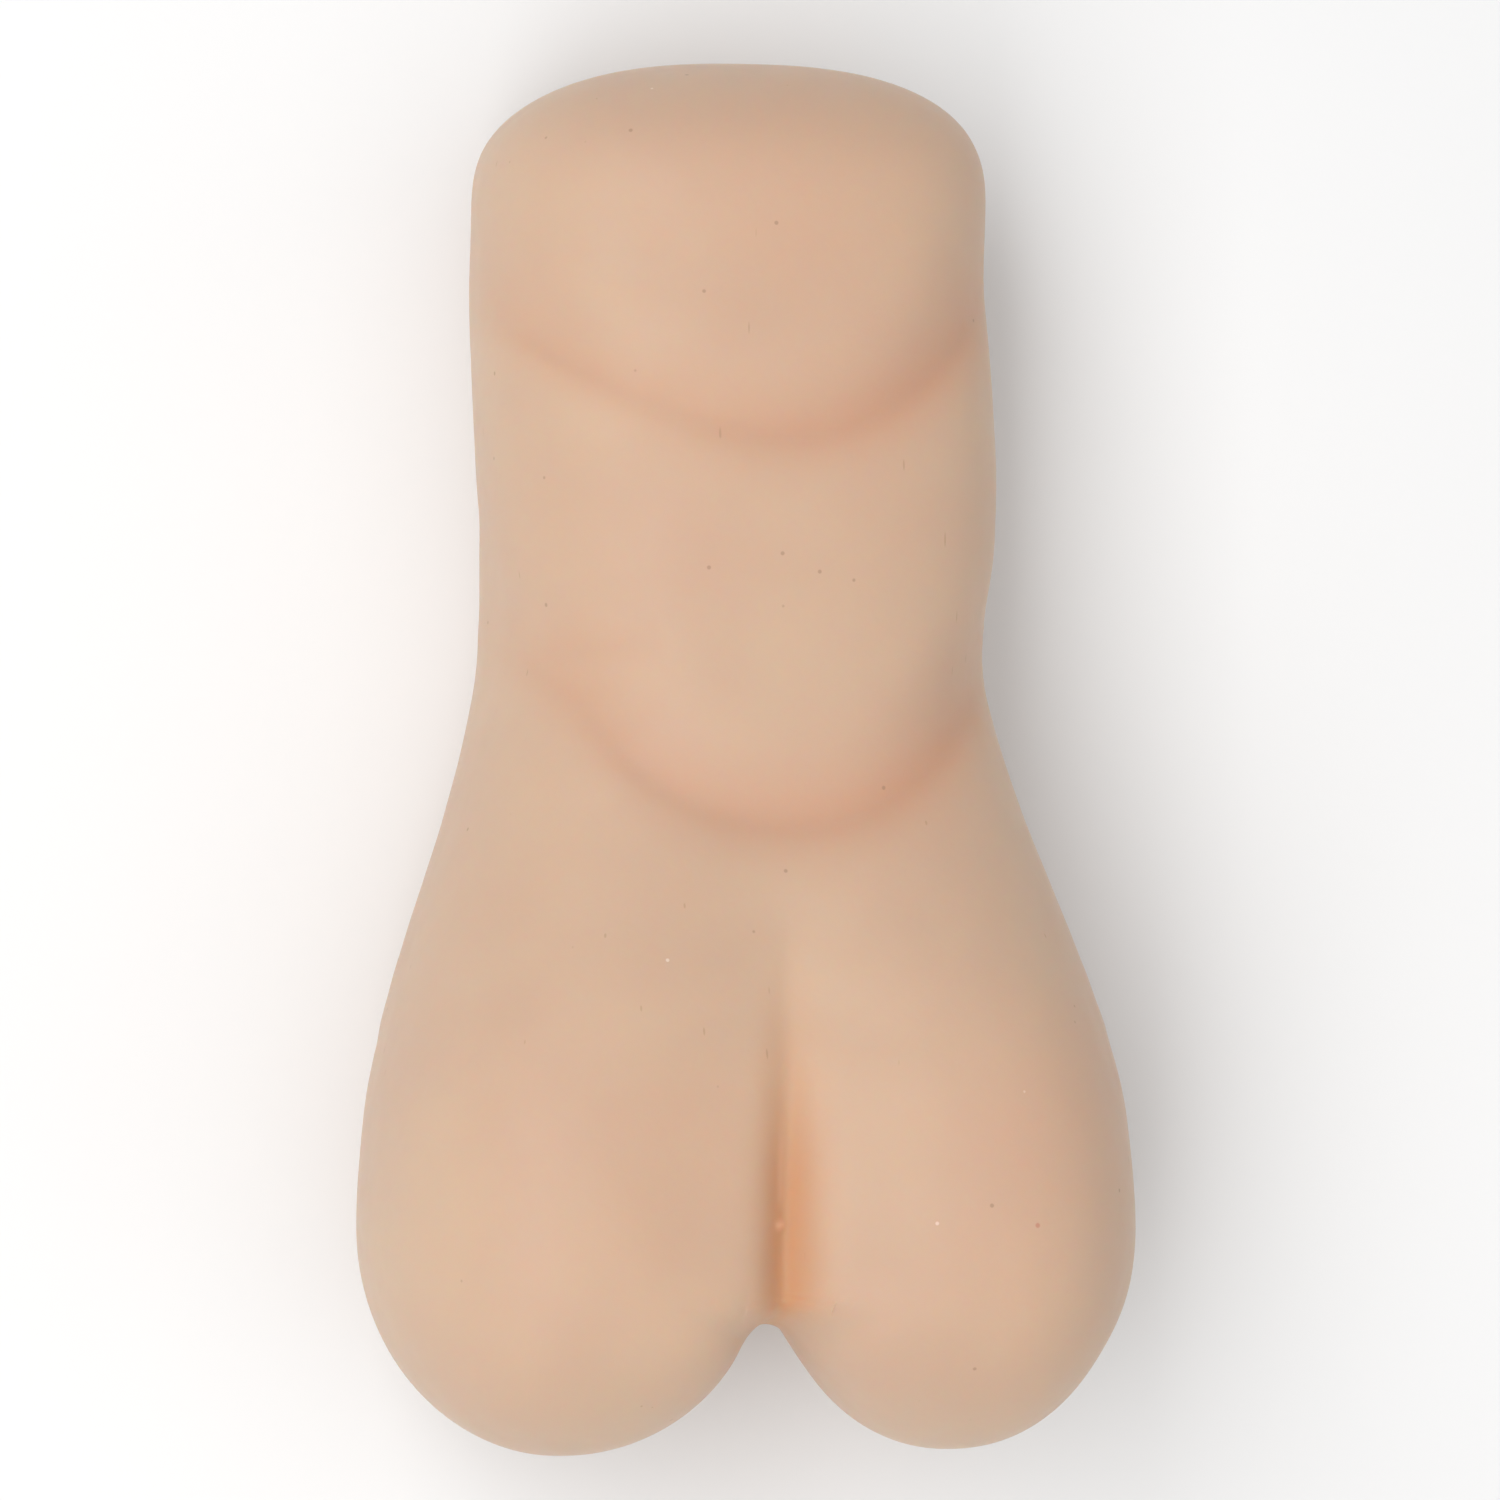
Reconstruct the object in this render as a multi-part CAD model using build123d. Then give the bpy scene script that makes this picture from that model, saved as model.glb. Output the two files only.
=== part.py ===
"""Soft torso form: a hand-sized, headless and limbless elastomer body, lying on its flattened belly.

Frame: +Z up out of the back, +Y towards the trunk's top end, +X to the right when seen from above with +Y up.
Origin: middle of the footprint, on the surface that it lies on. Units: millimetres.
"""
from build123d import *
from math import cos, copysign, pi, radians, sin
import os

# ---- driving dimensions -----------------------------------------------------------------------
HALF_LENGTH = 95.0          # the form is 190 long
HIP_HALF_WIDTH = 52.9       # widest, across both hip lobes
HIP_HEIGHT = 72.0           # crest of the hip lobes
TRUNK_HALF_WIDTH = 35.6
TRUNK_HEIGHT = 55.0
SETTLE = 3.0                # how far each round section would reach below the flat underside

CAP_START = 75.0            # the trunk's stump end is round from here to its tip
ROUND_POWER = 2.4           # superellipse power of the trunk's sections and of its stump end

LOBE_X = 26.0               # middle of each hip lobe at its fullest
LOBE_HALF_WIDTH = 27.0
LOBE_FULL_Y = -64.5         # where the lobes are fullest
LOBE_POWER = 2.15
LOBE_TIP_Z = 38.0           # height of each lobe's tip
CLEFT_FLOOR_Z = 57.0        # bottom of the cleft between the lobes, at its deepest
NOTCH_Y = -77.3             # top of the notch between the lobes' ends

FOLD_WIDTH = 2.4
FOLD_DEPTH = 1.6
FOLDS = (                   # each fold is an arc in plan: its centre and radius
    (1.0, 77.0, 34.0),
    (2.0, 22.5, 31.5),
)
FOLD_REACH = 62.0           # degrees that each arc runs to either side of its lowest point

CORE_HALF_WIDTH = 21.0      # firm core, inside the trunk
CORE_LOW_Z = 12.0
CORE_HIGH_Z = 42.0
CORE_TOP_Y = 78.0
CORE_END_Y = -36.0
CORE_CORNER = 13.0          # radius along the core's four long edges
CORE_END_ROUND = 10.0       # radius round the core's ends

GEL_CENTRE = (26.5, -63.0, 35.0)     # soft gel insert in each hip lobe
GEL_HALF_SIZE = (16.5, 23.0, 22.0)

PLUG_RADIUS = 2.5           # plugs in the holes that the core's support pins leave
PLUG_X = 11.0
PLUG_ROWS = (56.0, -14.0)

SECTION_POINTS = 20
SMALLEST_END = 0.16         # a rounded end closes on a small flat of this share of its section


# ---- sections and lofts -----------------------------------------------------------------------
def section(y, centre_x, half_width, low, high, power):
    """A superellipse across the form at y."""
    middle = (low + high) / 2
    half_height = (high - low) / 2
    points = []
    for step in range(SECTION_POINTS):
        angle = 2 * pi * step / SECTION_POINTS
        across = copysign(abs(cos(angle)) ** (2 / power), cos(angle))
        up = copysign(abs(sin(angle)) ** (2 / power), sin(angle))
        points.append((centre_x + half_width * across, y, middle + half_height * up))
    return Face(Wire([Edge.make_spline(points, periodic=True)]))


def end_steps(power):
    """Pairs of (share of the rounded end's length, share of the full section), from full to nearly closed."""
    steps = []
    for degrees in (24, 42, 57, 69, 79):
        angle = radians(degrees)
        along = sin(angle) ** (2 / power)
        across = max(cos(angle) ** (2 / power), SMALLEST_END)
        steps.append((along, across))
    steps.append((1.0, SMALLEST_END))
    return steps


def shrunk(y, centre_x, half_width, low, high, share, tip_z, power):
    """The section (half_width, low, high) scaled by share about the height tip_z."""
    new_low = tip_z + (low - tip_z) * share
    new_high = tip_z + (high - tip_z) * share
    return section(y, centre_x, half_width * share, new_low, new_high, power)


def trunk(inset=0.0):
    """The trunk, from its stump end to the notch. inset makes the same shape smaller all round."""
    middle = (TRUNK_HEIGHT - SETTLE) / 2
    full_width = TRUNK_HALF_WIDTH - inset
    low = -SETTLE + inset
    high = TRUNK_HEIGHT - inset
    cap_length = HALF_LENGTH - inset - CAP_START
    sections = []
    for along, share in reversed(end_steps(ROUND_POWER)):
        y = CAP_START + cap_length * along
        sections.append(shrunk(y, 0, full_width, low, high, share, middle, ROUND_POWER))
    body_stations = (       # y, half-width, height of the crest
        (CAP_START - 3, TRUNK_HALF_WIDTH - 0.3, TRUNK_HEIGHT),
        (52, TRUNK_HALF_WIDTH, TRUNK_HEIGHT),
        (30, TRUNK_HALF_WIDTH - 0.9, TRUNK_HEIGHT),
        (14, TRUNK_HALF_WIDTH - 1.2, TRUNK_HEIGHT),
        (-2, 37.4, TRUNK_HEIGHT + 0.5),
        (-20, 43.2, TRUNK_HEIGHT + 4),
        (-38, 46.5, TRUNK_HEIGHT + 8),
        (-54, 42.0, CLEFT_FLOOR_Z + 3),
        (-66, 30.0, CLEFT_FLOOR_Z - 1),
        (-73, 18.0, CLEFT_FLOOR_Z - 7),
    )
    for y, half_width, crest in body_stations:
        sections.append(section(y, 0, half_width - inset, low, crest - inset, ROUND_POWER))
    sections.append(section(NOTCH_Y, 0, 6, 12, CLEFT_FLOOR_Z - 14, 2.0))
    return loft(sections)


def hip_lobe(side):
    """One hip lobe, which grows out of the trunk and ends in a round tip."""
    rise_stations = (       # y, middle, half-width, crest
        (8, 18.0, 14.0, 44.0),
        (-6, 20.0, 18.0, 52.0),
        (-20, 21.5, 22.0, 59.0),
        (-34, 23.5, 25.0, 65.5),
        (-50, 25.4, 26.5, 70.5),
        (LOBE_FULL_Y, LOBE_X - 0.1, LOBE_HALF_WIDTH, HIP_HEIGHT),
    )
    sections = []
    for y, middle_x, half_width, crest in rise_stations:
        low = -SETTLE if crest > TRUNK_HEIGHT else 2.0
        sections.append(section(y, side * middle_x, half_width, low, crest, LOBE_POWER))
    end_length = HALF_LENGTH + LOBE_FULL_Y
    for along, share in end_steps(LOBE_POWER):
        y = LOBE_FULL_Y - end_length * along
        sections.append(
            shrunk(y, side * LOBE_X, LOBE_HALF_WIDTH, -SETTLE, HIP_HEIGHT, share, LOBE_TIP_Z, LOBE_POWER)
        )
    return loft(sections)


def fold_groove(centre_x, centre_y, radius, whole, inner):
    """A shallow groove along an arc in plan, cut between the trunk's surface and the inset trunk."""
    middle_z = TRUNK_HEIGHT
    tall = TRUNK_HEIGHT
    ring = Cylinder(radius + FOLD_WIDTH / 2, tall) - Cylinder(radius - FOLD_WIDTH / 2, tall)
    end_y = -radius * cos(radians(FOLD_REACH))
    reach = Pos(0, end_y - radius, 0) * Box(4 * radius, 2 * radius, tall)
    return ((Pos(centre_x, centre_y, middle_z) * (ring & reach)) & whole) - inner


# ---- the pieces -------------------------------------------------------------------------------
def firm_core():
    """The core: a straight bar with a rounded section and round ends."""
    middle_z = (CORE_LOW_Z + CORE_HIGH_Z) / 2
    outline = RectangleRounded(2 * CORE_HALF_WIDTH, CORE_HIGH_Z - CORE_LOW_Z, CORE_CORNER)
    bar = extrude(Plane((0, CORE_TOP_Y, middle_z), x_dir=(1, 0, 0), z_dir=(0, -1, 0)) * outline,
                  amount=CORE_TOP_Y - CORE_END_Y)
    ends = bar.faces().sort_by(Axis.Y)
    return fillet(ends[0].edges() + ends[-1].edges(), CORE_END_ROUND)


def hip_gel(side):
    """A gel insert: an egg in the middle of the lobe."""
    x, y, z = GEL_CENTRE
    return Pos(side * x, y, z) * scale(Sphere(1), by=GEL_HALF_SIZE)


def pin_plugs(core):
    """Four plugs from the underside up to the core."""
    reach = (CORE_LOW_Z + CORE_HIGH_Z) / 2
    plugs = []
    for y in PLUG_ROWS:
        for x in (-PLUG_X, PLUG_X):
            pin = Pos(x, y, reach / 2) * Cylinder(PLUG_RADIUS, reach)
            plugs.append((pin - core).solids().sort_by(Axis.Z)[0])
    return plugs


def outer_body(core, gels, plugs):
    whole = trunk()
    inner = trunk(FOLD_DEPTH)
    body = whole + hip_lobe(1) + hip_lobe(-1)
    above_table = Pos(0, 0, HIP_HEIGHT) * Box(4 * HIP_HALF_WIDTH, 4 * HALF_LENGTH, 2 * HIP_HEIGHT)
    body = body & above_table
    for inside in (core, *gels, *plugs):
        body = body - inside
    for centre_x, centre_y, radius in FOLDS:
        body = body - fold_groove(centre_x, centre_y, radius, whole, inner)
    return body


def write(node, shape):
    solids = shape.solids()
    shape = solids[0] if len(solids) == 1 else Compound(children=list(solids))
    export_step(shape, os.path.join("parts", node + ".step"))
    size = shape.bounding_box().size
    print(f"{node}: {len(solids)} solid(s), {shape.volume / 1000:.1f} cm3, "
          f"{size.X:.1f} x {size.Y:.1f} x {size.Z:.1f} mm")


os.makedirs("parts", exist_ok=True)
core = firm_core()
gels = [hip_gel(side) for side in (-1, 1)]
plugs = pin_plugs(core)
write("outer_body", outer_body(core, gels, plugs))
write("firm_core", core)
write("hip_gel_left", gels[0])
write("hip_gel_right", gels[1])
write("underside_pin_plugs", Compound(children=plugs))
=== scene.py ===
# %% [markdown]
# # A soft torso form, cast in elastomer
#
# The object is one soft casting in thermoplastic elastomer, about as long as a hand: a trunk with a
# round stump end, two folds across its back, and two hip lobes with a cleft between them. It lies on its
# flattened underside. Inside it are a firmer core, two gel inserts, and the four plugs that close the
# holes which the core's support pins leave in the underside.
#
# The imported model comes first. It gives every place and size that the pieces below are worked out from.

# %% Load the frame
import math
import bmesh
import bpy
import numpy as np
from mathutils import Matrix, Vector


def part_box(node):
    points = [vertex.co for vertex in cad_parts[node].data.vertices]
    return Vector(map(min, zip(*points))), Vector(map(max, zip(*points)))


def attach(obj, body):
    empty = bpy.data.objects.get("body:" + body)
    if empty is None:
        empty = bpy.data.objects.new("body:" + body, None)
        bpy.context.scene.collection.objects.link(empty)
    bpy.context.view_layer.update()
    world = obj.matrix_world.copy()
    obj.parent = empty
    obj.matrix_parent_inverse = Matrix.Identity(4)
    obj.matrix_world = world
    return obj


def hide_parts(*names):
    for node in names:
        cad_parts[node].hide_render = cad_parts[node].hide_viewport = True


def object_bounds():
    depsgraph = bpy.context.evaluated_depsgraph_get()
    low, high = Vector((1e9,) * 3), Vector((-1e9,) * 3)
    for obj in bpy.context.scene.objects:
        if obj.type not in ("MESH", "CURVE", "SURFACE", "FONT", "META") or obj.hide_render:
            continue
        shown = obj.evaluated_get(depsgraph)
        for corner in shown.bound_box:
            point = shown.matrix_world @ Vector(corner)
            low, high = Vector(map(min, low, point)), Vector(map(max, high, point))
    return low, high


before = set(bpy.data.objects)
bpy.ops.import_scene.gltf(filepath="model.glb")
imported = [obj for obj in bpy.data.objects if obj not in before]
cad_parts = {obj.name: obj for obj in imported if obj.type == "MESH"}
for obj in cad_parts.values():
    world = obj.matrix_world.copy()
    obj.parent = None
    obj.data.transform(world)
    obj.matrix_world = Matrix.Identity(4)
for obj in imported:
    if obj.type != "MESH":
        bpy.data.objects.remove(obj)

MM = 0.001
CAD_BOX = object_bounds()
LOW, HIGH = (np.array(corner) / MM for corner in CAD_BOX)
print("CAD box in mm:", LOW.round(1), HIGH.round(1))

# %% [markdown]
# ## The form's measures
#
# A soft form has no edges to dimension, so it is described as a maker's pattern describes it: a few
# stations along its length, with a half-width and a crest height at each, and a smooth curve between
# them. The length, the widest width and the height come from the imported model's box.

# %% Stations along the trunk and the lobes
HALF_LENGTH = HIGH[1]
HIP_HALF_WIDTH = HIGH[0]
HIP_HEIGHT = HIGH[2]
SETTLE = 3.0                    # mm that each round section would reach below the surface it lies on
CAP_START = 75.0                # the trunk's stump end is round from here
LOBE_FULL_Y = -64.5             # the lobes are fullest here
NOTCH_Y = -75.5                 # the notch between the lobes' ends begins here


def smooth_curve(stations):
    """A function through (y, value) stations, with level slopes only where the values turn."""
    ys, values = (np.array(column, dtype=float) for column in zip(*sorted(stations)))
    steps = np.diff(values) / np.diff(ys)
    slopes = np.zeros_like(values)
    inner = steps[:-1] * steps[1:] > 0
    slopes[1:-1][inner] = 2 / (1 / steps[:-1][inner] + 1 / steps[1:][inner])

    def curve(y):
        y = np.clip(y, ys[0], ys[-1])
        i = np.clip(np.searchsorted(ys, y, side="right") - 1, 0, len(ys) - 2)
        width = ys[i + 1] - ys[i]
        t = (y - ys[i]) / width
        return (
            (1 + 2 * t) * (1 - t) ** 2 * values[i]
            + t * (1 - t) ** 2 * width * slopes[i]
            + t ** 2 * (3 - 2 * t) * values[i + 1]
            + t ** 2 * (t - 1) * width * slopes[i + 1]
        )

    return curve


outline = smooth_curve((        # half-width of the whole form, seen from above
    (90, 35.6), (76, 35.2), (58, 35.6), (40, 35.6), (27, 35.1), (15, 34.9), (5, 36.1), (-8, 39.6),
    (-22, 44.5), (-36, 49.0), (-50, 51.9), (LOBE_FULL_Y, HIP_HALF_WIDTH), (-95, HIP_HALF_WIDTH),
))
crest = smooth_curve((          # height of the trunk's crest, and of the fill between the lobes
    (95, 54.0), (70, 56.0), (30, 56.0), (8, 56.5), (-6, 57.5), (-20, 60.0), (-32, 64.0),
    (-44, 67.5), (-56, 68.5), (-66, 68.0), (-73, 67.0), (NOTCH_Y, 66.0),
))
lobe_crest = smooth_curve((
    (26, 30.0), (10, 38.0), (-6, 49.0), (-20, 59.0), (-34, 66.5), (-50, 71.0),
    (LOBE_FULL_Y, HIP_HEIGHT), (-95, HIP_HEIGHT),
))
lobe_width = smooth_curve((     # half-width of one lobe
    (30, 8.0), (8, 15.0), (-8, 19.0), (-22, 22.5), (-36, 24.8), (-50, 26.1), (LOBE_FULL_Y, 26.3),
))
fill_width = smooth_curve((     # half-width of the trunk where it runs on between the lobes
    (-8, 62.0), (-20, 51.0), (-32, 46.0), (-44, 39.0), (-60, 29.0), (-70, 23.0), (-78, 18.0),
))
sway = smooth_curve((           # how far the form's middle wanders to the side
    (95, 0.0), (89, -0.3), (82, -0.7), (66, -0.9), (52, -0.4), (36, 0.3), (22, 0.6), (6, 0.2), (-8, 0.0),
))
tuck = smooth_curve((           # what blending trunk and lobe adds to the outline, taken off again
    (42, 0.0), (30, 0.1), (18, 1.5), (6, 3.1), (-6, 3.35), (-18, 3.1),
    (-26, 2.5), (-32, 1.4), (-38, 0.1), (-46, 0.0),
))
print("half-widths in mm at the stump, waist and hips:", outline(np.array([70.0, 15.0, -60.0])).round(1))

# %% [markdown]
# ## The body as a field
#
# The body could be carved with sculpt strokes, or lofted and fused with booleans. Sculpting can't be
# repeated exactly, and booleans leave sharp seams where the lobes meet the trunk. So it is written as a
# field: a function that says how far any point is outside the skin. Fields blend: where trunk and lobe
# are equally near, a smooth minimum rounds the valley between them, as soft material does.

# %% Fields for the trunk and the lobes
TRUNK_POWER = 2.5               # 2 is an ellipse, and more is squarer
LOBE_POWER = 2.25
LOBE_END_POWER = 2.05
RIGHT_SLIM = 1.6                # the right lobe's end is narrower than the left's by this
INNER_RISE = 15.0               # at the notch, the lobes' inner sides are fullest this much higher
END_LIFT = 4.0                  # how much higher the lobes' very ends are
LOBE_START = 26.0               # the lobes swell out of the trunk over this length
FILL_LIFT = (-46, 31, 34)       # the fill's underside lifts from here, over this length, by so much
NOTCH_CAP = 7.0                 # the fill between the lobes rounds off over this length at the notch
NOTCH_POWER = 4.5


def blend_min(a, b, radius):
    """The smaller of two distances, with the valley between them rounded."""
    near = np.clip(0.5 + 0.5 * (b - a) / radius, 0, 1)
    return b + (a - b) * near - radius * near * (1 - near)


def fade(value, middle, width):
    """A step from 0 to 1 around middle, about four widths long."""
    return 1 / (1 + np.exp(-np.clip((value - middle) / width, -40, 40)))


def swell(across, up, along, power, end_power):
    """How far a point is outside a superellipsoid. Each pair is an offset from the middle and a half-size."""
    section = np.abs(across[0] / across[1]) ** power + np.abs(up[0] / up[1]) ** power
    r = (section ** (end_power / power) + np.abs(along[0] / along[1]) ** end_power) ** (1 / end_power)
    r = np.maximum(r, 1e-4)
    rho = np.sqrt(across[0] ** 2 + up[0] ** 2 + along[0] ** 2)
    return rho - rho / r


def trunk_field(x, y, z):
    top = crest(y)
    lift_start, lift_length, lift = FILL_LIFT
    low = -SETTLE + np.clip((lift_start - y) / lift_length, 0, 1) ** 2 * lift
    middle = (top + low) / 2
    past_cap = np.maximum(y - CAP_START, 0)
    past_notch = np.minimum(y - (NOTCH_Y + NOTCH_CAP), 0)
    length = np.where(y > 0, HALF_LENGTH - CAP_START, NOTCH_CAP)
    width = blend_min(outline(y) - tuck(y), fill_width(y), 8.0)
    along = (past_cap + past_notch, length)
    end_power = np.where(y > 0, TRUNK_POWER, NOTCH_POWER)
    return swell((x, width), (z - middle, (top - low) / 2), along, TRUNK_POWER, end_power)


def lobe_field(side, x, y, z):
    top = lobe_crest(y)
    past_full = np.clip((LOBE_FULL_Y - y) / (HALF_LENGTH + LOBE_FULL_Y), 0, 1)
    middle = (top - SETTLE) / 2 + END_LIFT * past_full ** 2
    slim = RIGHT_SLIM * max(side, 0) * fade(-y, 79, 2.5)
    centre = side * (outline(y) - tuck(y) - lobe_width(y)) + 0.25 * slim
    half_width = lobe_width(y) - slim
    inward = np.clip(-side * (x - centre) / half_width, 0, 1)
    middle = middle + INNER_RISE * fade(-y, 70, 4) * inward ** 2
    beyond = np.minimum(y - LOBE_FULL_Y, 0) + np.maximum(y, 0)
    along = (beyond, np.where(y < -30, HALF_LENGTH + LOBE_FULL_Y, LOBE_START))
    across = (x - centre, half_width)
    up = (z - middle, (top + SETTLE) / 2)
    return swell(across, up, along, LOBE_POWER, LOBE_END_POWER)


# %% [markdown]
# ## Folds, rolls and cleft
#
# Each fold is an arc in plan: the roll above it bulges, rolls over and tucks in, and the skin below
# comes out from under it. The fold is pressed into the field as a soft groove beside a broad swelling.
# It is widest at its lowest point, narrow on its way up the left, and fades out towards the form's
# sides. A faint wrinkle branches off the start of the lower fold.

# %% Folds
FOLDS = (           # reach is the angle from the fold's lowest point to its two ends, in degrees
    {
        "centre": (1.0, 77.0), "radius": 34.0, "depth": 1.9, "roll": 0.9, "width": 3.0, "reach": (-84, 70),
        "flare": (-28, 0.14),           # from this angle the fold runs outward, by so many mm a degree
    },
    {
        "centre": (2.0, 22.5), "radius": 31.5, "depth": 1.9, "roll": 0.9, "width": 3.3, "reach": (-88, 72),
        "flare": (-62, 0.28),
    },
    {
        "centre": (-28.0, 74.2), "radius": 60.0, "depth": 0.35, "roll": 0.0, "width": 1.8, "reach": (-1, 12),
        "flare": (-90, 0.0),
    },
)


def fold_groove(fold, x, y):
    """The groove and the roll above it as two shares from 0 to 1, both faded out at the fold's ends."""
    dx = x - fold["centre"][0]
    dy = y - fold["centre"][1]
    angle = np.degrees(np.arctan2(dx, -dy))
    start, rate = fold["flare"]
    off = np.hypot(dx, dy) - fold["radius"] - rate * np.maximum(start - angle, 0)
    left, right = fold["reach"]
    soft = (right - left) / 24
    strength = fade(angle, left, soft) * (1 - fade(angle, right, soft)) * (0.77 + 0.21 * np.tanh(angle / 30))
    wider = 1.15 - 0.35 * np.exp(-((angle + 48) / 20) ** 2)
    side = fold["width"] * wider * np.where(off < 0, 1.25, 0.85)
    groove = np.exp(0.5 - np.sqrt((off / side) ** 2 + 0.25))
    roll = np.exp(-((off + 10.5) / 6.5) ** 2)
    return strength * groove, strength * roll


def fold_press(x, y, z):
    """How far the folds push the skin in (plus) or out (minus), in mm."""
    push = np.zeros_like(x)
    for fold in FOLDS:
        groove, roll = fold_groove(fold, x, y)
        push += fold["depth"] * groove - fold["roll"] * roll
    return push * fade(z, 30, 4)


# %% [markdown]
# The cleft is a narrow valley with sloping walls. It starts as a faint hollow below the second fold and
# is deepest above the notch. On its floor the mould left a fine raised line, and a small round pip where
# the line ends.

# %% Cleft, moulding line and pip
CLEFT_WIDTH = 2.8
CLEFT_ROUND = 1.9               # how round its floor is
PIP_PLACE = (-0.65, -62.6)
PIP_RADIUS = 0.75
PIP_HEIGHT = 0.4
LINE_RADIUS = 0.6
LINE_HEIGHT = 0.08
CLEFT_DEEPEST_Y = -68
CLEFT_DEEPEST = 5.3
cleft_depth = smooth_curve((
    (-14, 0.0), (-25, 0.5), (-38, 1.9), (-48, 3.5), (-58, 5.0), (CLEFT_DEEPEST_Y, CLEFT_DEEPEST), (-80, 3.8),
))


def cleft_share(x):
    """1 on the cleft's floor, falling to 0 up its walls."""
    steep = 1.2
    return np.exp((CLEFT_ROUND / CLEFT_WIDTH) ** steep - (np.hypot(x, CLEFT_ROUND) / CLEFT_WIDTH) ** steep)


def pip_share(x, y):
    return np.exp(-((x - PIP_PLACE[0]) ** 2 + (y - PIP_PLACE[1]) ** 2) / PIP_RADIUS ** 2)


def line_share(x, y):
    return np.exp(-((x - PIP_PLACE[0]) / LINE_RADIUS) ** 2) * fade(y, -60, 0.6) * (1 - fade(y, -50, 1.5))


def cleft_sink(x, y, z):
    """How far the cleft lowers the skin, in mm, less what stands up on its floor."""
    marks = PIP_HEIGHT * pip_share(x, y) + LINE_HEIGHT * line_share(x, y)
    return fade(z, 44, 2.0) * (cleft_depth(y) * cleft_share(x) - marks)


def body_field(x, y, z):
    """The body before its cleft is pressed."""
    x = x - sway(y)
    trunk = trunk_field(x, y, z)
    between = 5.0 + 5.0 * fade(y, -58, 4)
    lobes = blend_min(lobe_field(-1, x, y, z), lobe_field(1, x, y, z), between)
    body = blend_min(trunk, lobes, 14.0 - 6.0 * fade(-y, 25, 7) - 2.5 * fade(-y, 74, 2))
    body = body + fold_press(x, y, z)
    return -blend_min(-body, z, 2.5)        # flat underneath, with a rounded edge


# %% [markdown]
# ## From field to mesh
#
# Rough clay lumps are fused by a voxel remesh, which gives even quads all over. Each point then slides
# down the field's slope until it lies on the skin. One subdivision and a second slide bring out the fine
# shapes. The same three steps make the core and the gels, so they are functions.

# %% Lumps, remesh, slide
def tube(builder, stations, ring=40):
    """Rings of points joined to a closed tube. Each station is (centre, half-width, half-height) in mm."""
    rings = []
    for (cx, cy, cz), half_width, half_height in stations:
        points = []
        for step in range(ring):
            angle = 2 * math.pi * step / ring
            x = cx + half_width * math.cos(angle)
            z = cz + half_height * math.sin(angle)
            points.append(builder.verts.new((x, cy, z)))
        rings.append(points)
    for near, far in zip(rings, rings[1:]):
        for step in range(ring):
            after = (step + 1) % ring
            builder.faces.new((near[step], near[after], far[after], far[step]))
    builder.faces.new(list(reversed(rings[0])))
    builder.faces.new(rings[-1])


def round_end(past, length, power):
    """How wide a rounded end still is, from 1 to 0."""
    return (1 - min(max(past / length, 0), 1) ** power) ** (1 / power)


def lump_stations(side):
    """Rings a little inside the skin: the trunk for side 0, a lobe for -1 and 1."""
    end = HALF_LENGTH - 2 if side == 0 else 0
    start = NOTCH_Y + 3 if side == 0 else -HALF_LENGTH + 1.5
    for y in np.linspace(end, start, 40):
        if side == 0:
            share = round_end(y - CAP_START, 20, 2.4) * round_end(NOTCH_Y + 16 - y, 16, 2.4)
            width = min(float(outline(y)), float(fill_width(y)))
            yield (0, y, 27), width * share, 28 * share
        else:
            share = round_end(LOBE_FULL_Y - y, 30.5, 2.2)
            width = float(lobe_width(y))
            height = float(lobe_crest(y)) - 34
            yield (side * (float(outline(y)) - width), y, 34), 0.9 * width * share, height * share


def web_stations():
    """Rings in the fill between the lobes, so that no crack stays open between their lumps."""
    for y in np.linspace(-35, NOTCH_Y + 1.5, 20):
        yield (0, y, 46), 13, 14


def apply_modifiers(piece):
    """Replace a piece's mesh by what its modifiers make of it."""
    graph = bpy.context.evaluated_depsgraph_get()
    made = bpy.data.meshes.new_from_object(piece.evaluated_get(graph))
    piece.modifiers.clear()
    piece.data = made


def points_of(mesh):
    flat = np.empty(len(mesh.vertices) * 3)
    mesh.vertices.foreach_get("co", flat)
    return flat.reshape(-1, 3)


def slide_to_skin(mesh, field, rounds=4, reach=3.0):
    """Move each point along the field's slope until it lies on the skin."""
    p = points_of(mesh)
    h = 0.05
    for _ in range(rounds):
        value = field(*p.T)
        slope = np.stack([(field(*(p + step).T) - value) / h for step in np.eye(3) * h], axis=1)
        move = value[:, None] * slope / np.maximum((slope ** 2).sum(axis=1), 1e-3)[:, None]
        size = np.linalg.norm(move, axis=1, keepdims=True)
        p = p - move * np.minimum(1, reach / np.maximum(size, 1e-9))
    mesh.vertices.foreach_set("co", p.ravel())
    mesh.update()
    return abs(field(*p.T)).max()


def refine(mesh, chosen):
    """Halve the edges of the faces whose middle chosen(x, y, z) picks."""
    builder = bmesh.new()
    builder.from_mesh(mesh)
    faces = [face for face in builder.faces if chosen(*face.calc_center_median())]
    edges = {edge for face in faces for edge in face.edges}
    bmesh.ops.subdivide_edges(builder, edges=list(edges), cuts=1, use_grid_fill=True)
    bmesh.ops.triangulate(builder, faces=[face for face in builder.faces if len(face.verts) > 4])
    builder.to_mesh(mesh)
    builder.free()


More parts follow.
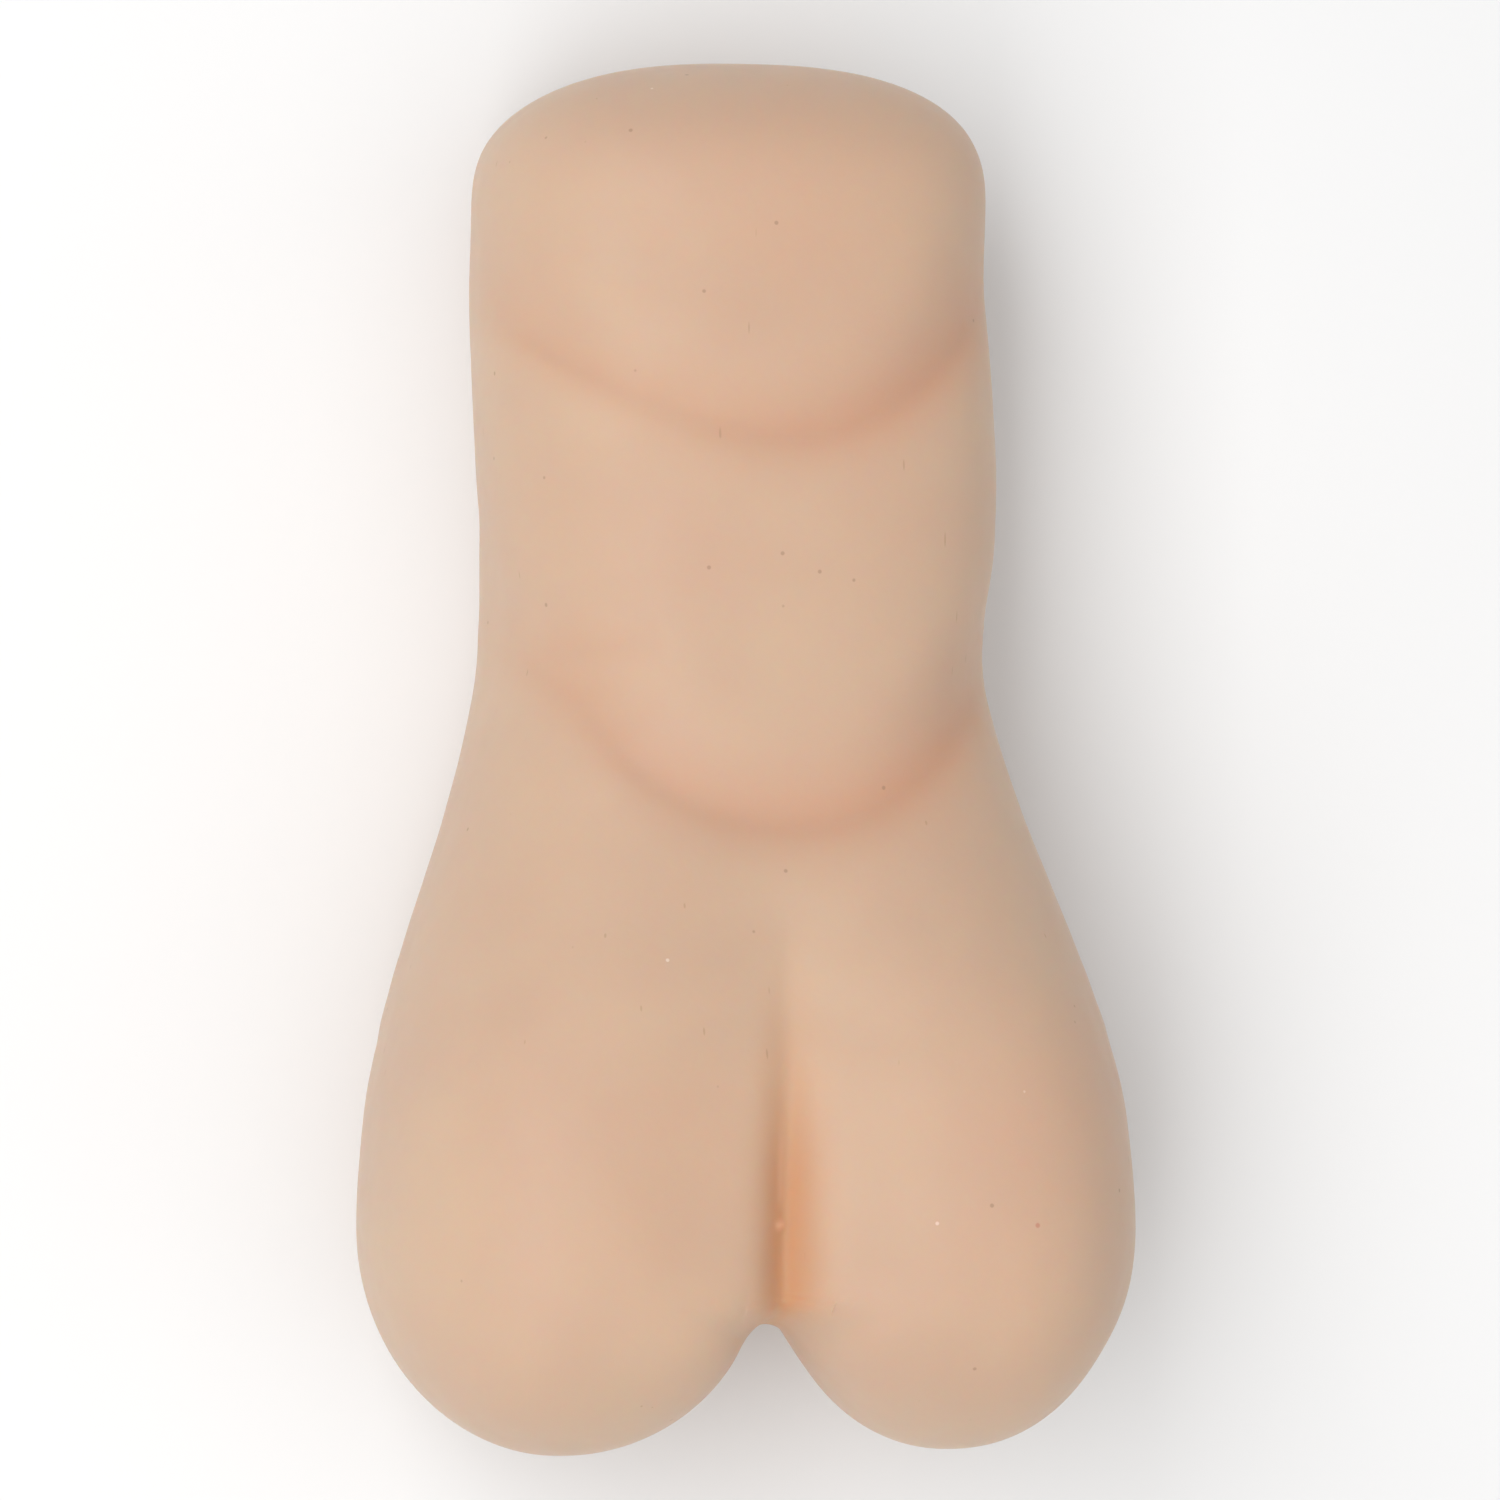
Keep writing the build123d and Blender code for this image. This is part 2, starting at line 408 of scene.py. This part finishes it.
def cast(name, tubes, field, voxel, fine_where=None):
    """A closed skin of even quads that lies on the field's surface, in mm."""
    builder = bmesh.new()
    for stations in tubes:
        tube(builder, list(stations))
    bmesh.ops.recalc_face_normals(builder, faces=builder.faces)
    mesh = bpy.data.meshes.new(name)
    builder.to_mesh(mesh)
    builder.free()
    piece = bpy.data.objects.new(name, mesh)
    bpy.context.scene.collection.objects.link(piece)
    fuse = piece.modifiers.new("fuse", "REMESH")
    fuse.mode = "VOXEL"
    fuse.voxel_size = voxel
    piece.modifiers.new("relax", "SMOOTH").iterations = 6
    apply_modifiers(piece)
    slide_to_skin(piece.data, field, rounds=6)
    piece.modifiers.new("relax", "SMOOTH").iterations = 3
    piece.modifiers.new("finer", "SUBSURF").levels = 1
    apply_modifiers(piece)
    if fine_where:
        refine(piece.data, fine_where)
    for _ in range(2):              # spread out the points that crowd in the valleys
        slide_to_skin(piece.data, field)
        piece.modifiers.new("relax", "SMOOTH").iterations = 4
        apply_modifiers(piece)
    miss = slide_to_skin(piece.data, field)
    print(name, "has", len(piece.data.vertices), "points, at most", miss.round(3), "mm off its field")
    return piece


# %% [markdown]
# The cleft isn't part of that field, because points that slide into a narrow valley crowd together on
# its floor. Instead the body is cast without it, and each point is then lowered straight down by the
# cleft's depth at its place.

# %% Cast the body
BODY_VOXEL = 1.9
INNER_VOXEL = 3.0


def in_cleft(x, y, z):
    return abs(x) < 6 and -86 < y < -30 and z > 40


def near_pip(x, y, z):
    return abs(x) < 2.5 and -66 < y < -48 and z > 40


def sink_cleft(mesh):
    """Lower each point by the cleft's depth at its place."""
    x, y, start = points_of(mesh).T
    z = start
    for _ in range(4):
        z = start - cleft_sink(x - sway(y), y, z)
    mesh.vertices.foreach_set("co", np.stack([x, y, z], axis=1).ravel())
    mesh.update()


lumps = [lump_stations(side) for side in (0, -1, 1)] + [web_stations()]
body = cast("outer_body_skin", lumps, body_field, BODY_VOXEL, in_cleft)
refine(body.data, near_pip)
slide_to_skin(body.data, body_field)
sink_cleft(body.data)

# %% [markdown]
# ## Core and gels
#
# The core is a plain straight bar of firmer elastomer with rounded edges and ends, cast first and held
# in the outer mould by four pins. The gels are eggs of very soft gel in the middle of each lobe. Nothing
# of them shows from outside, but they are what gives the casting its weight and its feel, so they are
# whole pieces. Each has a field too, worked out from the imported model.

# %% Fields for the core and the gels
CORE_CORNER = 13.0              # radius along the core's four long edges
CORE_END_ROUND = 10.0           # radius round its ends
core_low, core_high = (np.array(corner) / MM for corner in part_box("firm_core"))
core_middle = (core_low + core_high) / 2
core_half = (core_high - core_low) / 2


def rounded(a, b, radius):
    """Distance to the rounded corner between two flat sides."""
    outside = np.hypot(np.maximum(a + radius, 0), np.maximum(b + radius, 0))
    inside = np.minimum(np.maximum(a, b) + radius, 0)
    return outside + inside - radius


def core_field(x, y, z):
    beside, beyond, above = (np.abs(p - core_middle[i]) - core_half[i] for i, p in enumerate((x, y, z)))
    return rounded(rounded(beside, above, CORE_CORNER), beyond, CORE_END_ROUND)


def gel_field(node):
    low, high = (np.array(corner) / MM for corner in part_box(node))
    middle = (low + high) / 2
    half = (high - low) / 2

    def field(x, y, z):
        pairs = [(p - m, h) for p, m, h in zip((x, z, y), middle[[0, 2, 1]], half[[0, 2, 1]])]
        return swell(*pairs, 2.0, 2.0)

    return field, middle, half


def bar_stations(middle, half, grow=0.0):
    """Rings of a plain round-ended bar that fills half of the box."""
    for y in np.linspace(-1, 1, 15):
        share = 0.72 * round_end(abs(y), 1.02, 4)
        yield (middle[0], middle[1] + y * (half[1] - 3), middle[2]), half[0] * share, half[2] * share


core = cast("firm_core_bar", [bar_stations(core_middle, core_half)], core_field, INNER_VOXEL)
gels = []
for side in ("left", "right"):
    field, middle, half = gel_field(f"hip_gel_{side}")
    gels.append(cast(f"hip_gel_egg_{side}", [bar_stations(middle, half)], field, INNER_VOXEL))

# %% [markdown]
# ## Plugs
#
# When the core's support pins are pulled, each leaves a hole in the underside. It is filled with a plug
# of the same elastomer, which shrinks a little as it sets: its outer end is dished, with a fine witness
# ring round it. A plug is a profile turned round its own axis, and its inner end follows the core.

# %% Turn the plugs
plug_low, plug_high = (np.array(corner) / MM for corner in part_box("underside_pin_plugs"))
PLUG_RADIUS = 2.5
PLUG_X = plug_high[0] - PLUG_RADIUS
PLUG_ROWS = (plug_high[1] - PLUG_RADIUS, plug_low[1] + PLUG_RADIUS)
DISH = 0.35                     # how far the set plug sinks in at its middle
LIP = 0.25                      # round edge at the plug's outer end


def core_underside(x):
    """Height of the core's underside above the table, off its middle by x."""
    past_flat = max(abs(x) - (core_half[0] - CORE_CORNER), 0)
    return core_low[2] + CORE_CORNER - math.sqrt(CORE_CORNER ** 2 - past_flat ** 2)


def turn(builder, centre, profile, steps=48):
    """Turn a profile of (radius, height) round a vertical axis. A height of None is the core's underside."""
    rings = []
    for radius, height in profile:
        ring = []
        for step in range(steps):
            angle = 2 * math.pi * step / steps
            x = centre[0] + radius * math.cos(angle)
            y = centre[1] + radius * math.sin(angle)
            ring.append(builder.verts.new((x, y, core_underside(x) if height is None else height)))
        rings.append(ring)
    for near, far in zip(rings, rings[1:]):
        for step in range(steps):
            after = (step + 1) % steps
            builder.faces.new((near[step], near[after], far[after], far[step]))
    builder.faces.new(list(reversed(rings[0])))
    builder.faces.new(rings[-1])


def dished_profile():
    """The plug's profile: a shallow dish, a round lip, a straight wall and the end against the core."""
    points = [(0.4 + 1.7 * share, DISH * (1 - share ** 2)) for share in np.linspace(0, 1, 7)]
    for angle in np.linspace(-80, 0, 5):
        across = PLUG_RADIUS - LIP + LIP * math.cos(math.radians(angle))
        points.append((across, LIP + LIP * math.sin(math.radians(angle))))
    points += [(PLUG_RADIUS, height) for height in np.linspace(1.5, 10.5, 6)]
    points += [(PLUG_RADIUS, None), (PLUG_RADIUS * 0.6, None), (PLUG_RADIUS * 0.2, None)]
    return points


def turned_piece(name, profile):
    """One piece that has a turned solid at each of the four plug places."""
    builder = bmesh.new()
    for y in PLUG_ROWS:
        for x in (-PLUG_X, PLUG_X):
            turn(builder, (x, y), profile)
    bmesh.ops.recalc_face_normals(builder, faces=builder.faces)
    mesh = bpy.data.meshes.new(name)
    builder.to_mesh(mesh)
    builder.free()
    piece = bpy.data.objects.new(name, mesh)
    bpy.context.scene.collection.objects.link(piece)
    return piece


plugs = turned_piece("pin_hole_plugs", dished_profile())
print("plugs at x", (-PLUG_X, PLUG_X), "and y", PLUG_ROWS)

# %% [markdown]
# ## Room for them inside the body
#
# The body is poured round the core and the gels, so it has a cavity of their shape. Each cutter is the
# piece itself, grown by a hair so that the surfaces don't fight, and the holes get a small lead-in at
# their mouths, which shows as the witness ring.

# %% Cut the cavities
CLEARANCE = 0.05
MOUTH = 0.3                     # lead-in at each hole's mouth


def grown(piece):
    """A copy of a piece, grown by the clearance, as a cutter."""
    mesh = piece.data.copy()
    normals = np.empty(len(mesh.vertices) * 3)
    mesh.vertices.foreach_get("normal", normals)
    mesh.vertices.foreach_set("co", (points_of(mesh) + CLEARANCE * normals.reshape(-1, 3)).ravel())
    cutter = bpy.data.objects.new("cutter", mesh)
    bpy.context.scene.collection.objects.link(cutter)
    return cutter


def boolean(piece, other, operation):
    cut = piece.modifiers.new("cut", "BOOLEAN")
    cut.object = other
    cut.operation = operation
    cut.solver = "EXACT"
    apply_modifiers(piece)
    bpy.data.objects.remove(other)


hole = PLUG_RADIUS + CLEARANCE
below = 1.0                     # the cutter starts below the underside, so that it leaves a clean edge
hole_profile = [(hole + MOUTH + below, -below), (hole, MOUTH), (hole, core_low[2] + 4)]
cavity = grown(core)
boolean(cavity, turned_piece("pin_holes", hole_profile), "UNION")
boolean(body, cavity, "DIFFERENCE")
for gel in gels:
    boolean(body, grown(gel), "DIFFERENCE")
print("body with its cavities:", len(body.data.polygons), "faces")

# %% [markdown]
# ## What the finish needs to know about the shape
#
# The folds and the cleft are painted darker and redder than the rolls: painted shade, where the casting is
# pinched and shade gathers. The finish can't see the folds by itself, so each point of the mesh carries a
# few shares from 0 to 1 that the material reads.

# %% Shares for the finish
# Painted shade: darker, rosier patches at these places on the rolls and lobes.
SHADE_PATCHES = (                       # soft rosy patches: place and radius in mm, strength
    ((5, 72), 17, 0.6), ((-10, 30), 12, 0.2), ((-13, -52), 13, 0.45), ((33, -50), 15, 0.55),
    ((31, -72), 10, 0.3), ((-19, -66), 10, 0.25), ((14, 34), 10, 0.25),
)


def carry(mesh, name, values):
    """Store one number for each point of a mesh."""
    mesh.attributes.new(name, "FLOAT", "POINT").data.foreach_set("value", values.astype(np.float32))


x, y, z = points_of(body.data).T
x = x - sway(y)
up_side = fade(z, 30, 4)
# the fold share also places the folds' painted shade
fold_share = sum(fold_groove(fold, x, y)[0] * min(fold["depth"] / 1.5, 1) for fold in FOLDS) * up_side
# deep places the cleft's painted shade, at full strength from its deepest point to the notch
deep = cleft_depth(np.maximum(y, CLEFT_DEEPEST_Y)) / CLEFT_DEEPEST * fade(z, 40, 3)
shade_patch = sum(
    strength * np.exp(-((x - at[0]) ** 2 + (y - at[1]) ** 2) / radius ** 2)
    for at, radius, strength in SHADE_PATCHES
)
carry(body.data, "fold", fold_share)
carry(body.data, "cleft", deep * np.exp(-(np.abs(x - 0.2) / 3.8) ** 1.6))
carry(body.data, "shade_patch", shade_patch * up_side)
# pale places a painted highlight on the pip and the moulding line
carry(body.data, "pale", np.maximum(pip_share(x, y), 0.6 * line_share(x, y)) * fade(z, 46, 2))
print("share of points in a fold or the cleft:", ((fold_share > 0.3) | (deep > 0.3)).mean().round(3))

# %% [markdown]
# ## Into the frame
#
# Everything so far is in millimetres. Each piece is scaled to metres, shaded smooth except across its
# sharp edges, and rides on the part's one body in place of its CAD solid.

# %% Scale, shade and place
SHARP = math.radians(40)


def place(piece, node, slot, soft=None):
    piece.data.transform(Matrix.Scale(MM, 4))
    piece.data.polygons.foreach_set("use_smooth", [True] * len(piece.data.polygons))
    piece.data.set_sharp_from_angle(angle=SHARP)
    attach(piece, "root")
    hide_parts(node)


place(body, "outer_body", "skin_elastomer", soft=1.0)
place(core, "firm_core", "firm_elastomer")
for gel, side in zip(gels, ("left", "right")):
    place(gel, f"hip_gel_{side}", "soft_gel", soft=1.0)
place(plugs, "underside_pin_plugs", "plug_elastomer")

# %% [markdown]
# ## Finishes
#
# One function turns hex colours to linear values, and one adds a node with its settings, values and
# links. Patterns are in object space, which is in metres here, so a pattern's scale is one over its real
# size.

# %% Helpers for the finishes
def srgb(code):
    """A hex colour as Blender's linear values."""
    parts = [int(code[i:i + 2], 16) / 255 for i in (1, 3, 5)]
    return (*((c / 12.92 if c <= 0.04045 else ((c + 0.055) / 1.055) ** 2.4) for c in parts), 1.0)


def add(tree, kind, settings=None, values=None, links=None):
    """Add one node: settings are its own options, values fill its sockets, links join them to outputs."""
    node = tree.nodes.new(kind)
    for name, value in (settings or {}).items():
        setattr(node, name, value)
    for name, value in (values or {}).items():
        node.inputs[name].default_value = value
    for name, socket in (links or {}).items():
        tree.links.new(socket, node.inputs[name])
    return node


def per_mm(size):
    """The scale that gives a pattern this size in mm."""
    return 1 / (size * MM)


def new_finish(name, values):
    """A material with its own Principled shader and the object's coordinates."""
    material = bpy.data.materials.new(name)
    material.use_nodes = True
    shader = material.node_tree.nodes["Principled BSDF"]
    for socket, value in values.items():
        shader.inputs[socket].default_value = value
    where = add(material.node_tree, "ShaderNodeTexCoord").outputs["Object"]
    return material, material.node_tree, shader, where


# %% [markdown]
# ### Skin-tone elastomer
#
# The skin is a thermoplastic elastomer, a block copolymer softened with oil and tinted with a little
# pigment. Light goes a few millimetres into it before it comes out again, which softens every shadow and
# reddens the folds. The surface is moulded, then dusted so that it isn't tacky: it is matt, with a low
# broad shine and a faint bloom at its edges. The pigment isn't quite even, so its tone wanders in clouds a
# few centimetres wide. Rosy patches a few centimetres wide are painted shade, and so are the darker, redder
# folds and cleft. Being a little tacky all the same, it picks up specks and lint.

# %% Skin-tone elastomer: depth and colour
skin, tree, shader, where = new_finish("skin_tone_elastomer", {
    "Roughness": 0.55,
    "IOR": 1.48,                            # typical for a styrenic elastomer
    "Specular IOR Level": 0.35,
    "Subsurface Weight": 1.0,
    "Subsurface Radius": (1.0, 0.45, 0.25),  # red light travels furthest
    "Subsurface Scale": 0.003,
    "Sheen Weight": 0.03,
    "Sheen Roughness": 0.5,
})


def mixed(tree, below, above, share, blend="MIX"):
    """Colour above over colour below, by a share."""
    node = add(tree, "ShaderNodeMix", {"data_type": "RGBA", "blend_type": blend}, links={0: share})
    for socket, colour in ((6, below), (7, above)):
        if isinstance(colour, str):
            node.inputs[socket].default_value = srgb(colour)
        else:
            tree.links.new(colour, node.inputs[socket])
    return node.outputs[2]


def share_of(tree, socket, low, high, to_low=0.0, to_high=1.0):
    """A value's place between low and high, as a share."""
    spread = {"From Min": low, "From Max": high, "To Min": to_low, "To Max": to_high}
    return add(tree, "ShaderNodeMapRange", {"clamp": True}, spread, {"Value": socket}).outputs["Result"]


def times(tree, a, b):
    return add(tree, "ShaderNodeMath", {"operation": "MULTIPLY"}, links={0: a, 1: b}).outputs[0]


clouds = add(tree, "ShaderNodeTexNoise", {}, {
    "Scale": per_mm(26), "Detail": 3.0, "Roughness": 0.5,
}, {"Vector": where})
patches = add(tree, "ShaderNodeTexNoise", {}, {
    "Scale": per_mm(7), "Detail": 2.0, "Roughness": 0.55,
}, {"Vector": where})
carried = {
    name: add(tree, "ShaderNodeAttribute", {"attribute_name": name}).outputs["Fac"]
    for name in ("fold", "cleft", "shade_patch", "pale")
}
tone = mixed(tree, "#ccaf96", "#c9aa93", share_of(tree, clouds.outputs["Fac"], 0.35, 0.65))
# Painted shade: rosier, darker patches, broken up by a finer noise.
rosy = times(tree, carried["shade_patch"], share_of(tree, patches.outputs["Fac"], 0.2, 0.6, 0.55, 1.0))
tone = mixed(tree, tone, "#cba58c", rosy)
# Painted shade: the fold grooves are painted darker and redder.
fold_painted_shade = share_of(tree, carried["fold"], 0.05, 1.0, 0.0, 0.75)
tone = mixed(tree, tone, "#c8967a", fold_painted_shade)
# Painted shade: the cleft is painted darker and more orange.
tone = mixed(tree, tone, "#c88e62", share_of(tree, carried["cleft"], 0.05, 1.0, 0.0, 0.8))
# Painted highlight: the pip and the moulding line are painted paler.
tone = mixed(tree, tone, "#d9ab92", share_of(tree, carried["pale"], 0.1, 1.0, 0.0, 0.6))

# %% [markdown]
# Specks and lint come from cells scattered through space: where the surface passes close to a cell's
# middle, it shows a dot. Each kind has its own cell size, and only some cells hold one. Lint uses cells
# stretched about six times along one direction.

# %% Specks and lint
def scatter(tree, where, cell, reach, keep, stretch=(1, 1, 1), turn=(0, 0, 0)):
    """Dots of radius reach in cells of size cell, both in mm, in a share keep of the cells."""
    laid = add(tree, "ShaderNodeMapping", {}, {"Rotation": turn, "Scale": stretch}, {"Vector": where})
    cells = add(tree, "ShaderNodeTexVoronoi", {}, {"Scale": per_mm(cell)}, {"Vector": laid.outputs["Vector"]})
    dot = share_of(tree, cells.outputs["Distance"], 0.6 * reach / cell, reach / cell, 1.0, 0.0)
    lot = add(tree, "ShaderNodeSeparateColor", {}, links={0: cells.outputs["Color"]})
    held = add(tree, "ShaderNodeMath", {"operation": "LESS_THAN"}, {1: keep}, {0: lot.outputs[0]})
    return times(tree, dot, held.outputs[0])


LITTER = (                      # colour, cell, radius, share of cells, stretch and turn
    ("#8e6f58", 5.0, 0.34, 0.30, (1, 1, 1), (0, 0, 0)),
    ("#f4ece2", 6.5, 0.30, 0.16, (1, 1, 1), (0.4, 0.2, 0)),
    ("#b8604e", 9.0, 0.42, 0.14, (1, 1, 1), (0, 0.7, 0.2)),
    ("#4b3a30", 12.0, 0.36, 0.12, (1, 1, 1), (0.9, 0, 0.5)),
    ("#a98a6c", 2.2, 0.20, 0.10, (1, 0.16, 1), (0.2, 0, 0.5)),
    ("#a98a6c", 2.4, 0.20, 0.08, (1, 0.18, 1), (0.5, 0.3, -0.9)),
)
for colour, cell, reach, keep, stretch, turned in LITTER:
    spot = scatter(tree, where, cell, reach, keep, stretch, turned)
    faint = add(tree, "ShaderNodeMath", {"operation": "MULTIPLY"}, {1: 0.45}, {0: spot}).outputs[0]
    tone = mixed(tree, tone, colour, faint)
tree.links.new(tone, shader.inputs["Base Color"])

# %% [markdown]
# The mould's surface leaves a fine orange-peel, about a millimetre across and a few hundredths deep,
# over a softer waviness. The shine breaks up with it: dusted places are duller.

# %% Skin texture and shine
peel = add(tree, "ShaderNodeTexNoise", {}, {"Scale": per_mm(1.1), "Detail": 2.0}, {"Vector": where})
waves = add(tree, "ShaderNodeTexNoise", {}, {"Scale": per_mm(6.0), "Detail": 1.0}, {"Vector": where})
both = add(tree, "ShaderNodeMath", {"operation": "MULTIPLY_ADD"}, {1: 3.0}, {
    0: waves.outputs["Fac"], 2: peel.outputs["Fac"],
})
relief = add(tree, "ShaderNodeBump", {}, {"Strength": 0.35, "Distance": 0.05 * MM}, {"Height": both.outputs[0]})
tree.links.new(relief.outputs["Normal"], shader.inputs["Normal"])
dusting = share_of(tree, patches.outputs["Fac"], 0.3, 0.7, 0.50, 0.62)
tree.links.new(dusting, shader.inputs["Roughness"])
body.data.materials.clear()
body.data.materials.append(skin)
print("skin finish:", len(tree.nodes), "nodes")

# %% [markdown]
# ### The inner finishes
#
# The core is the same family of elastomer with less oil: firmer, greyer and a little glossier, with flow
# lines a few millimetres apart where it filled its mould. The gel is a clear oil gel with a rosy tint
# and small air bubbles. The plugs are the skin's own elastomer from a second pour, so they are a shade
# off, with the marks of a scraped-off spill.

# %% Firm elastomer, gel and plugs
firm, tree, shader, where = new_finish("firm_core_elastomer", {
    "Roughness": 0.42,
    "IOR": 1.50,
    "Subsurface Weight": 0.6,
    "Subsurface Radius": (1.0, 0.6, 0.4),
    "Subsurface Scale": 0.002,
})
flow = add(tree, "ShaderNodeTexWave", {"bands_direction": "Y"}, {
    "Scale": per_mm(4.0) / 6.3, "Distortion": 5.0, "Detail": 2.0, "Detail Scale": 0.6,
}, {"Vector": where})
flow_share = share_of(tree, flow.outputs["Fac"], 0.2, 0.9)
tree.links.new(mixed(tree, "#d8c3ac", "#cdb59c", flow_share), shader.inputs["Base Color"])
grain = add(tree, "ShaderNodeTexNoise", {}, {"Scale": per_mm(0.9), "Detail": 3.0}, {"Vector": where})
relief = add(tree, "ShaderNodeBump", {}, {
    "Strength": 0.4, "Distance": 0.1 * MM,
}, {"Height": grain.outputs["Fac"]})
tree.links.new(relief.outputs["Normal"], shader.inputs["Normal"])
core.data.materials.clear()
core.data.materials.append(firm)

gel_finish, tree, shader, where = new_finish("clear_oil_gel", {
    "Roughness": 0.12,
    "IOR": 1.46,
    "Transmission Weight": 0.55,
    "Subsurface Weight": 0.4,
    "Subsurface Radius": (1.0, 0.7, 0.6),
    "Subsurface Scale": 0.006,
})
haze = add(tree, "ShaderNodeTexNoise", {}, {"Scale": per_mm(9), "Detail": 2.0}, {"Vector": where})
bubble = scatter(tree, where, 4.0, 0.7, 0.35)
tinted = mixed(tree, "#efcdbf", "#e6b9a8", share_of(tree, haze.outputs["Fac"], 0.35, 0.65))
tree.links.new(mixed(tree, tinted, "#fff4ee", bubble), shader.inputs["Base Color"])
relief = add(tree, "ShaderNodeBump", {}, {"Strength": 0.6, "Distance": 0.3 * MM}, {"Height": bubble})
tree.links.new(relief.outputs["Normal"], shader.inputs["Normal"])
for gel in gels:
    gel.data.materials.clear()
    gel.data.materials.append(gel_finish)

plug_finish, tree, shader, where = new_finish("second_pour_elastomer", {
    "Roughness": 0.5,
    "IOR": 1.48,
    "Subsurface Weight": 0.8,
    "Subsurface Radius": (1.0, 0.45, 0.25),
    "Subsurface Scale": 0.0015,
})
scrape = add(tree, "ShaderNodeMapping", {}, {
    "Rotation": (0, 0, 0.5), "Scale": (1, 0.08, 1),
}, {"Vector": where})
marks = add(tree, "ShaderNodeTexNoise", {}, {
    "Scale": per_mm(0.35), "Detail": 2.0,
}, {"Vector": scrape.outputs["Vector"]})
scraped = share_of(tree, marks.outputs["Fac"], 0.4, 0.6)
tree.links.new(mixed(tree, "#c9a389", "#bd9478", scraped), shader.inputs["Base Color"])
relief = add(tree, "ShaderNodeBump", {}, {
    "Strength": 0.5, "Distance": 0.1 * MM,
}, {"Height": marks.outputs["Fac"]})
tree.links.new(relief.outputs["Normal"], shader.inputs["Normal"])
plugs.data.materials.clear()
plugs.data.materials.append(plug_finish)
print("finishes:", [m.name for m in (skin, firm, gel_finish, plug_finish)])

# %% [markdown]
# ## Table, light and camera
#
# The form lies on a plain white table. A softbox from the left models the rolls, a larger one overhead
# lifts the whole, and a weak one on the right keeps the far side from going grey. The camera looks down
# from above, a little from the left.

# %% Table
TABLE_HALF = 2.0
signs = [(-1, -1), (1, -1), (1, 1), (-1, 1)]
corners = [(TABLE_HALF * across, TABLE_HALF * along, 0) for across, along in signs]
table_mesh = bpy.data.meshes.new("table")
table_mesh.from_pydata(corners, [], [(0, 1, 2, 3)])
table = bpy.data.objects.new("table", table_mesh)
bpy.context.scene.collection.objects.link(table)
paper, tree, shader, where = new_finish("white_paper", {
    "Base Color": srgb("#e9e9e9"), "Roughness": 0.9,
})
table.data.materials.append(paper)


# %% Lights
def facing(place, target):
    """Where something stands, with its back's -Z towards the target and its Y along the form."""
    forward = (target - place).normalized()
    right = forward.cross(Vector((0, 1, 0))).normalized()
    up = right.cross(forward)
    return Matrix.Translation(place) @ Matrix((right, up, -forward)).transposed().to_4x4()


def softbox(name, place, width, length, power):
    data = bpy.data.lights.new(name, "AREA")
    data.shape = "RECTANGLE"
    data.size = width
    data.size_y = length
    data.energy = power
    lamp = bpy.data.objects.new(name, data)
    lamp.matrix_world = facing(Vector(place), Vector((0, 0, core_middle[2] * MM)))
    bpy.context.scene.collection.objects.link(lamp)


softbox("softbox_left", (-0.52, 0.0, 0.92), 0.6, 2.0, 11.7)
softbox("softbox_top", (0.05, -0.2, 1.3), 1.3, 2.6, 7.3)
softbox("softbox_right", (0.8, -0.1, 0.6), 0.9, 1.2, 1.8)
world = bpy.data.worlds.new("studio")
world.use_nodes = True
world.node_tree.nodes["Background"].inputs["Color"].default_value = (1, 1, 1, 1)
world.node_tree.nodes["Background"].inputs["Strength"].default_value = 0.30
bpy.context.scene.world = world
bpy.context.scene.view_settings.view_transform = "Standard"

# %% Camera
VIEW_TILT = math.radians(10.6)  # from straight above, towards the left
VIEW_DISTANCE = 1.0
VIEW_WIDTH = 0.2058             # what the frame takes in at the target
VIEW_TARGET = Vector((0.0010, 0.0006, 0.033))
camera_data = bpy.data.cameras.new("camera")
camera_data.sensor_width = 36.0
camera_data.lens = camera_data.sensor_width * VIEW_DISTANCE / VIEW_WIDTH
camera = bpy.data.objects.new("camera", camera_data)
eye = VIEW_TARGET + VIEW_DISTANCE * Vector((-math.sin(VIEW_TILT), 0, math.cos(VIEW_TILT)))
camera.matrix_world = facing(eye, VIEW_TARGET)
bpy.context.scene.collection.objects.link(camera)
bpy.context.scene.camera = camera
print("lens in mm:", round(camera_data.lens, 1))
